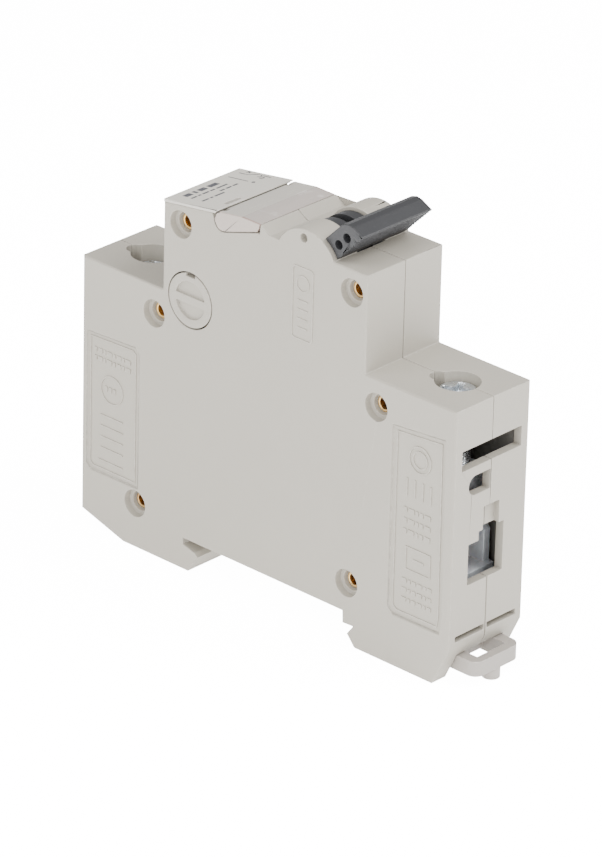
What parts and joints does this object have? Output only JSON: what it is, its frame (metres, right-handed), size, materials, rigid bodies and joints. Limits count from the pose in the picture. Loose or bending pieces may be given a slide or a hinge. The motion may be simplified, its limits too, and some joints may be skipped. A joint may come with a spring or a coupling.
{
  "type": "circuit_breaker",
  "caption": "One-pole miniature circuit breaker for a 35 mm rail, with its trip mechanism, arc chute, coil and cage terminals inside",
  "frame": {"origin": "middle of the rail seat: the centre of the recess along the housing, on the plane where the two halves meet, on the face that rests on the rail", "axes": "+Z away from the rail to the toggle, +X to the load terminal and the rail clip, -Y to the side with the calibration plug"},
  "size_m": [0.0861, 0.0176, 0.0734],
  "materials": {
    "housing_grey": "moulded thermoset, fine matt texture",
    "label_grey": "moulded plate, satin",
    "card": "printed card",
    "clear_pink": "clear, slightly tinted, glossy",
    "toggle_grey": "dark moulded plastic, worn on the edges",
    "clip_grey": "moulded plastic, satin",
    "mechanism_black": "moulded plastic",
    "brass": "tarnished",
    "zinc_steel": "zinc plated",
    "steel": "plain",
    "copper": "copper",
    "silver": "contact silver",
    "fibre": "vulcanised fibre",
    "bobbin_cream": "moulded plastic"
  },
  "bodies": {
    "housing": {"near_shell": "housing_grey", "far_shell": "housing_grey", "rivets": "brass", "front_plate": "label_grey", "label_card": "card", "calibration_plug": "housing_grey", "calibration_cam": "brass", "toggle_axle": "steel", "toggle_spring": "steel", "spring_anchor": "zinc_steel", "carrier_pivot_pin": "steel", "contact_spring": "steel", "trip_lever_pin": "steel", "trip_spring": "steel", "bimetal_bracket": "zinc_steel", "braid": "copper", "line_plate": "copper", "load_plate": "copper", "fixed_contact": "copper", "fixed_tip": "silver", "coil_bobbin": "bobbin_cream", "coil_winding": "copper", "coil_yoke": "steel", "fixed_core": "steel", "plunger_spring": "steel", "upper_runner": "copper", "lower_runner": "copper", "splitter_plates": "steel", "chute_sheets": "fibre", "vent_grid": "mechanism_black", "clip_spring": "steel"},
    "toggle": {"toggle": "toggle_grey"},
    "link": {"link": "steel"},
    "carrier": {"contact_carrier": "mechanism_black", "contact_arm": "copper", "moving_tip": "silver", "latch_pin": "steel"},
    "latch": {"latch": "brass"},
    "trip_lever": {"trip_lever": "bobbin_cream"},
    "bimetal": {"bimetal_strip": "steel"},
    "plunger": {"plunger": "steel", "striker_pin": "steel"},
    "window": {"label_window": "clear_pink"},
    "rail_clip": {"din_clip": "clip_grey"},
    "line_screw": {"line_screw": "zinc_steel"},
    "load_screw": {"load_screw": "zinc_steel"},
    "line_cage": {"line_cage": "zinc_steel"},
    "load_cage": {"load_cage": "zinc_steel"}
  },
  "joints": [
    {"name": "toggle_turn", "type": "hinge", "parent": "housing", "child": "toggle", "pos_m": [0.0086, 0, 0.0575], "axis": [0, -1, 0], "range_deg": [0, 90]},
    {"name": "link_turn", "type": "hinge", "parent": "toggle", "child": "link", "pos_m": [0.00488, 0, 0.05829], "axis": [0, -1, 0], "range_deg": [-106, 0]},
    {"name": "contact_turn", "type": "hinge", "parent": "housing", "child": "carrier", "pos_m": [0.002, 0, 0.044], "axis": [0, -1, 0], "range_deg": [0, 16], "deforming": ["contact_spring", "braid"]},
    {"name": "latch_turn", "type": "hinge", "parent": "carrier", "child": "latch", "pos_m": [-0.00184, 0, 0.04874], "axis": [0, -1, 0], "range_deg": [-10, 0]},
    {"name": "trip_lever_turn", "type": "hinge", "parent": "housing", "child": "trip_lever", "pos_m": [-0.008, 0, 0.034], "axis": [0, -1, 0], "range_deg": [0, 10], "stiffness_Nm_per_rad": 0.004},
    {"name": "bimetal_bend", "type": "hinge", "parent": "housing", "child": "bimetal", "pos_m": [-0.0131, 0, 0.048], "axis": [0, -1, 0], "range_deg": [0, 3]},
    {"name": "plunger_slide", "type": "slide", "parent": "housing", "child": "plunger", "axis": [-1, 0, 0], "range_m": [0, 0.0018], "stiffness_N_per_m": 300, "deforming": ["plunger_spring"]},
    {"name": "window_hinge", "type": "hinge", "parent": "housing", "child": "window", "pos_m": [-0.00995, 0, 0.05965], "axis": [0, -1, 0], "range_deg": [0, 53]},
    {"name": "rail_clip_slide", "type": "slide", "parent": "housing", "child": "rail_clip", "axis": [1, 0, 0], "range_m": [0, 0.004], "stiffness_N_per_m": 600, "deforming": ["clip_spring"]},
    {"name": "line_screw_turn", "type": "hinge", "parent": "housing", "child": "line_screw", "pos_m": [-0.0338, 0, 0.03], "axis": [0, 0, -1], "range_deg": [0, 2880]},
    {"name": "load_screw_turn", "type": "hinge", "parent": "housing", "child": "load_screw", "pos_m": [0.0338, 0, 0.03], "axis": [0, 0, -1], "range_deg": [0, 2880]},
    {"name": "line_cage_slide", "type": "slide", "parent": "housing", "child": "line_cage", "axis": [0, 0, 1], "range_m": [0, 0.0064]},
    {"name": "load_cage_slide", "type": "slide", "parent": "housing", "child": "load_cage", "axis": [0, 0, 1], "range_m": [0, 0.0064]}
  ],
  "couplings": [
    {"joint": "link_turn", "follows": "toggle_turn", "ratio": -1.1756},
    {"joint": "contact_turn", "follows": "toggle_turn", "ratio": 0.17778},
    {"joint": "line_screw_turn", "follows": "line_cage_slide", "rad_per_m": 7854},
    {"joint": "load_screw_turn", "follows": "load_cage_slide", "rad_per_m": 7854}
  ]
}
